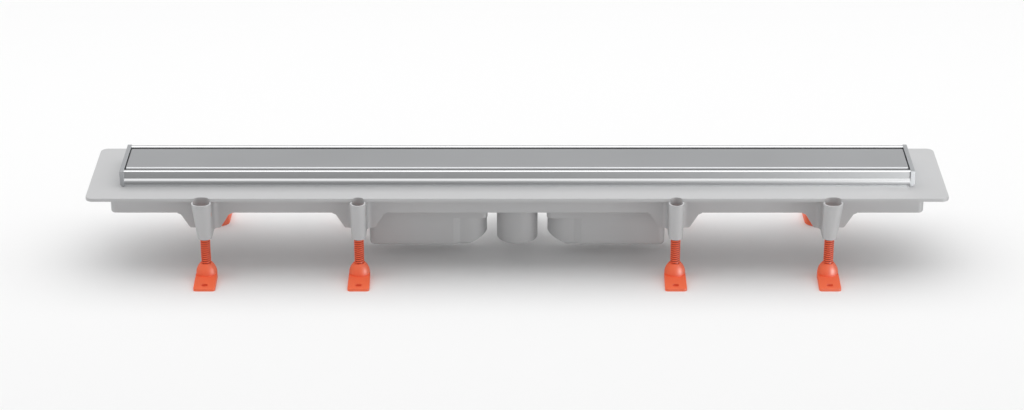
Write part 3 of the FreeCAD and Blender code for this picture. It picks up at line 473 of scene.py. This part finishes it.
def screw_mesh(low, thread_foot, high, collar_radius, look):
    """Leg screw on the Z axis: collar and plain journal below, helical thread above."""
    steps = look.segments
    collar_top = low + look.collar_height
    crest = look.thread_radius
    root = crest - look.thread_depth
    mesh = bmesh.new()

    def ring(radius_and_height):
        verts = []
        for i in range(steps + 1):
            angle = 2 * math.pi * i / steps
            radius, z = radius_and_height(i / steps)
            verts.append(mesh.verts.new((radius * math.cos(angle), radius * math.sin(angle), z)))
        return verts
    plain = [(collar_radius, low), (collar_radius, collar_top),
             (look.journal_radius, collar_top), (look.journal_radius, thread_foot),
             (root, thread_foot)]
    rings = [ring(lambda _, size=size: size) for size in plain]

    def thread_point(start, drop, turned):
        z = thread_foot + look.pitch * (start + turned)
        radius = min(crest - drop, root + max(0.0, z - thread_foot),
                     crest - look.chamfer + max(0.0, high - z))
        return radius, min(max(z, thread_foot), high)
    for turn in range(-1, int((high - thread_foot) / look.pitch) + 2):
        for share_of_pitch, drop in thread_profile(look.thread_depth):
            start = turn + share_of_pitch
            rings.append(ring(lambda turned, start=start, drop=drop:
                              thread_point(start, drop, turned)))
    for lower, upper in zip(rings, rings[1:]):
        for i in range(steps):
            mesh.faces.new((lower[i], lower[i + 1], upper[i + 1], upper[i]))
    foot_middle = mesh.verts.new((0, 0, low))
    top_middle = mesh.verts.new((0, 0, high))
    for i in range(steps):
        mesh.faces.new((rings[0][i + 1], rings[0][i], foot_middle))
        mesh.faces.new((rings[-1][i], rings[-1][i + 1], top_middle))
    bmesh.ops.remove_doubles(mesh, verts=mesh.verts, dist=WELD)
    bmesh.ops.dissolve_degenerate(mesh, edges=mesh.edges, dist=WELD)
    bmesh.ops.recalc_face_normals(mesh, faces=mesh.faces)
    data = bpy.data.meshes.new("leg_screw")
    mesh.to_mesh(data)
    mesh.free()
    return data


def cut_slot(data, high, look):
    """The screw with a driver slot across its top.

    The top rings fold over each other while the chamfer is less than the thread's depth, and
    then the Boolean leaves the slot's block on the screw.
    """
    mesh = bmesh.new()
    bmesh.ops.create_cube(mesh, size=1.0)
    reach = 3 * look.thread_radius
    bmesh.ops.scale(mesh, verts=mesh.verts, vec=(reach, look.slot_width, 2 * look.slot_depth))
    bmesh.ops.translate(mesh, verts=mesh.verts, vec=(0, 0, high))
    block = bpy.data.meshes.new("driver_slot")
    mesh.to_mesh(block)
    mesh.free()
    screw = bpy.data.objects.new("leg_screw", data)
    cutter = bpy.data.objects.new("driver_slot", block)
    for holder in (screw, cutter):
        bpy.context.scene.collection.objects.link(holder)
    cut = screw.modifiers.new("slot", "BOOLEAN")
    cut.operation = "DIFFERENCE"
    cut.solver = "EXACT"
    cut.object = cutter
    ready = screw.evaluated_get(bpy.context.evaluated_depsgraph_get())
    slotted = bpy.data.meshes.new_from_object(ready)
    for holder in (screw, cutter):
        bpy.data.objects.remove(holder)
    slotted.shade_smooth()
    slotted.set_sharp_from_angle(angle=CREASE)
    return slotted


def paint_groove_shade(data, thread_foot, look):
    """Give the second material, a darker orange-red that is painted shade, to the faces in the
    grooves of a screw on the Z axis.
    """
    groove_shade = look.thread_radius - look.groove_share * look.thread_depth
    for face in data.polygons:
        radius = math.hypot(face.center.x, face.center.y)
        slanted = abs(face.normal.z) < 0.9
        if face.center.z > thread_foot and radius < groove_shade and slanted:
            face.material_index = 1


def add_piece(name, data, materials, body):
    piece = bpy.data.objects.new(name, data)
    bpy.context.scene.collection.objects.link(piece)
    for material in materials:
        piece.data.materials.append(material)
    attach(piece, body)
    return piece


class DRAIN_OT_legs(bpy.types.Operator):
    """Cut the leg screws' threads, finish screws and feet, and paint shade into the threads'
    grooves
    """
    bl_idname = "drain.legs"
    bl_label = "Legs"

    def execute(self, context):
        look = context.scene.drain_legs
        grain = context.scene.drain_plastic.grain_size
        # The second material is painted shade: a darker orange-red for the faces in the thread's
        # grooves.
        plastic, groove_shade = (moulded_plastic(name, rgb, look.roughness, look.edge_radius, grain,
                                           tone=0.06)
                           for name, rgb in (("leg_plastic", look.leg_colour),
                                             ("leg_groove_painted_shade", look.groove_painted_shade_colour)))
        first = "%s_%s" % (SIDES[0], PLACES[0])
        low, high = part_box("leg_screw_" + first)[:2]
        thread_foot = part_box("leg_foot_" + first)[1][2]
        pattern = cut_slot(screw_mesh(low[2], thread_foot, high[2], (high[0] - low[0]) / 2, look),
                           high[2], look)
        paint_groove_shade(pattern, thread_foot, look)
        for side in SIDES:
            for place in PLACES:
                node = "leg_screw_%s_%s" % (side, place)
                low, high = (Vector(corner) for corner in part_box(node)[:2])
                middle = (low + high) / 2
                data = pattern.copy()
                data.transform(Matrix.Translation((middle.x, middle.y, 0)))
                screw = add_piece("threaded_" + node, data, (plastic, groove_shade),
                                  "screw_%s_%s" % (side, place))
                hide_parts(node)
                dress(plastic, "leg_foot_%s_%s" % (side, place))
        return {"FINISHED"}


# ---- floor, lamps and camera ----------------------------------------------------------
def floor_material():
    material, tree, shader = new_material("studio_floor")
    shader.inputs["Base Color"].default_value = (0.92, 0.92, 0.92, 1.0)
    shader.inputs["Roughness"].default_value = 0.9
    shader.inputs["Specular IOR Level"].default_value = 0.0
    return material


def add_floor():
    mesh = bmesh.new()
    bmesh.ops.create_grid(mesh, x_segments=8, y_segments=8, size=FLOOR_HALF)
    data = bpy.data.meshes.new("studio_floor")
    mesh.to_mesh(data)
    mesh.free()
    data.materials.append(floor_material())
    floor = bpy.data.objects.new("studio_floor", data)
    bpy.context.scene.collection.objects.link(floor)


def add_lamp(name, place, target, size, power):
    lamp = bpy.data.lights.new(name, "AREA")
    lamp.shape = "RECTANGLE"
    lamp.size, lamp.size_y = size
    lamp.energy = power
    holder = bpy.data.objects.new(name, lamp)
    bpy.context.scene.collection.objects.link(holder)
    holder.location = place
    holder.rotation_euler = (Vector(target) - Vector(place)).to_track_quat("-Z", "Y").to_euler()
    return holder


def set_world(strength, wall):
    """Even pale room that the camera sees as white, as mirrors do but for its rear wall."""
    world = bpy.data.worlds.new("studio_room")
    bpy.context.scene.world = world
    world.use_nodes = True
    tree = world.node_tree
    tree.nodes.clear()
    room = add_node(tree, "ShaderNodeBackground", Color=(1, 1, 1, 1), Strength=strength)
    seen = add_node(tree, "ShaderNodeBackground", Color=(1, 1, 1, 1))
    path = add_node(tree, "ShaderNodeLightPath")
    place = add_node(tree, "ShaderNodeTexCoord")
    parts = add_node(tree, "ShaderNodeSeparateXYZ")
    link(tree, place.outputs["Generated"], parts.inputs[0])
    rear = add_node(tree, "ShaderNodeMapRange", From_Min=0.55, From_Max=0.88, To_Min=1.0,
                    To_Max=wall)
    link(tree, parts.outputs["Y"], rear.inputs["Value"])
    sight = add_node(tree, "ShaderNodeMath", operation="MAXIMUM")
    link(tree, rear.outputs["Result"], sight.inputs[0])
    link(tree, path.outputs["Is Camera Ray"], sight.inputs[1])
    link(tree, sight.outputs[0], seen.inputs["Strength"])
    blend = add_node(tree, "ShaderNodeMixShader")
    output = add_node(tree, "ShaderNodeOutputWorld")
    white = add_node(tree, "ShaderNodeMath", operation="MAXIMUM")
    link(tree, path.outputs["Is Camera Ray"], white.inputs[0])
    link(tree, path.outputs["Is Glossy Ray"], white.inputs[1])
    link(tree, white.outputs[0], blend.inputs["Fac"])
    link(tree, room.outputs[0], blend.inputs[1])
    link(tree, seen.outputs[0], blend.inputs[2])
    link(tree, blend.outputs[0], output.inputs["Surface"])


class DRAIN_OT_stage(bpy.types.Operator):
    """Set up the floor, the lamps, the room and the camera"""
    bl_idname = "drain.stage"
    bl_label = "Studio"

    def execute(self, context):
        look = context.scene.drain_stage
        add_floor()
        set_world(look.room_power, look.rear_wall)
        add_lamp("top_lamp", TOP_LAMP_PLACE, DRAIN_MIDDLE, TOP_LAMP_SIZE, look.top_power)
        sheen = add_lamp("sheen_lamp", SHEEN_LAMP_PLACE, SHEEN_LAMP_TARGET, SHEEN_LAMP_SIZE,
                         look.sheen_power)
        sheen.visible_diffuse = False
        sheen.visible_camera = False
        lens = bpy.data.cameras.new("camera")
        lens.lens = look.lens
        lens.sensor_width = 36.0
        lens.shift_x = -0.00508
        lens.clip_end = 50.0
        camera = bpy.data.objects.new("camera", lens)
        context.scene.collection.objects.link(camera)
        camera.location = (0.0, -look.distance, look.height)
        camera.rotation_euler = (math.pi / 2 - look.pitch_down, 0.0, 0.0)
        context.scene.camera = camera
        context.scene.view_settings.view_transform = "Standard"
        return {"FINISHED"}


# ---- panel and registration -----------------------------------------------------------
OPERATORS = (DRAIN_OT_body, DRAIN_OT_trap, DRAIN_OT_frame, DRAIN_OT_cover, DRAIN_OT_legs,
             DRAIN_OT_stage)
LOOKS = {"drain_plastic": DrainPlasticLook, "drain_steel": DrainSteelLook,
         "drain_legs": DrainLegLook, "drain_stage": DrainStageLook}


class DRAIN_PT_sidebar(bpy.types.Panel):
    """Lists the drain's values and its steps"""
    bl_idname = "DRAIN_PT_sidebar"
    bl_label = "Channel drain"
    bl_space_type = "VIEW_3D"
    bl_region_type = "UI"
    bl_category = "Drain"

    def draw(self, context):
        for name, look in LOOKS.items():
            box = self.layout.box()
            for value in look.__annotations__:
                box.prop(getattr(context.scene, name), value)
        for operator in OPERATORS:
            self.layout.operator(operator.bl_idname)


def register():
    for look in LOOKS.values():
        bpy.utils.register_class(look)
    for name, look in LOOKS.items():
        setattr(bpy.types.Scene, name, bpy.props.PointerProperty(type=look))
    for operator in OPERATORS:
        bpy.utils.register_class(operator)
    bpy.utils.register_class(DRAIN_PT_sidebar)


def unregister():
    bpy.utils.unregister_class(DRAIN_PT_sidebar)
    for operator in reversed(OPERATORS):
        bpy.utils.unregister_class(operator)
    for name, look in LOOKS.items():
        delattr(bpy.types.Scene, name)
        bpy.utils.unregister_class(look)


def main():
    register()
    bpy.ops.drain.body()
    bpy.ops.drain.trap()
    bpy.ops.drain.frame()
    bpy.ops.drain.cover()
    bpy.ops.drain.legs()
    bpy.ops.drain.stage()


if __name__ == "__main__":
    main()
